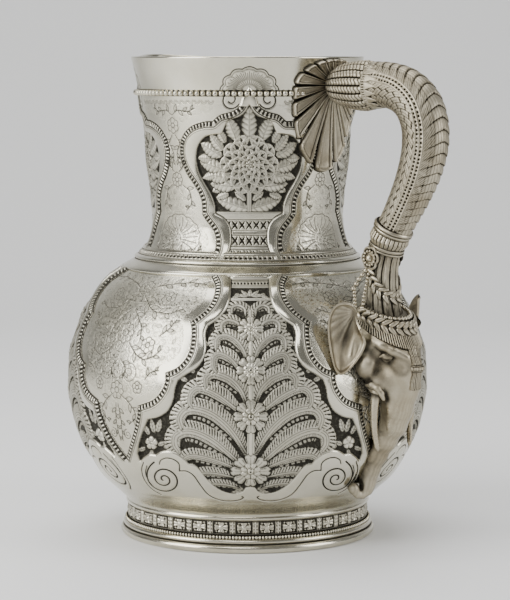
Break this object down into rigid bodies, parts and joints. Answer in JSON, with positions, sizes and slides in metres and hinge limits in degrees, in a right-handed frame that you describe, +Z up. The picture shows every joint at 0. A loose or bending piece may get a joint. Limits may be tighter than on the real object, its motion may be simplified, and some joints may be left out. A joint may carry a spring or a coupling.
{
  "type": "silver water pitcher",
  "caption": "Repousse silver water pitcher with a bulbous bowl on a ring foot, a flared neck and a cast handle from a scallop shell to an elephant's head",
  "frame": {"origin": "centre of the ring foot's resting face, on the pitcher's axis", "axes": "+Z up along the pitcher's axis, +X from the axis towards the handle, +Y to the left of the elephant's head"},
  "size_m": [0.2034, 0.1696, 0.225],
  "materials": {
    "raised_silver": "chased sterling sheet, darkened in the recesses and polished on the high parts",
    "wire_silver": "stamped and drawn sterling mouldings, darkened in the recesses",
    "cast_silver": "cast and chased sterling with a warmer, darker tone"
  },
  "bodies": {
    "root": {"bowl": "raised_silver", "neck": "raised_silver", "rim_bead_wire": "wire_silver", "shoulder_bead_strip": "wire_silver", "shoulder_moulding": "raised_silver", "foot_base": "wire_silver", "foot_bead_strip": "wire_silver", "foot_band": "wire_silver", "foot_collar": "wire_silver", "shell": "cast_silver", "bulb": "cast_silver", "bulb_collar": "cast_silver", "grip": "cast_silver", "grip_collar": "cast_silver", "rosette_left": "cast_silver", "rosette_right": "cast_silver", "plume_shaft": "cast_silver", "elephant_head": "cast_silver", "ear_left": "cast_silver", "ear_right": "cast_silver", "tusk_socket_left": "cast_silver", "tusk_socket_right": "cast_silver", "tusk_left": "cast_silver", "tusk_right": "cast_silver", "headcloth_fringe": "cast_silver", "forehead_tassel": "cast_silver", "bead_swag": "cast_silver", "bead_chain_left": "cast_silver", "bead_chain_right": "cast_silver", "leaf_garland": "cast_silver"}
  },
  "joints": []
}
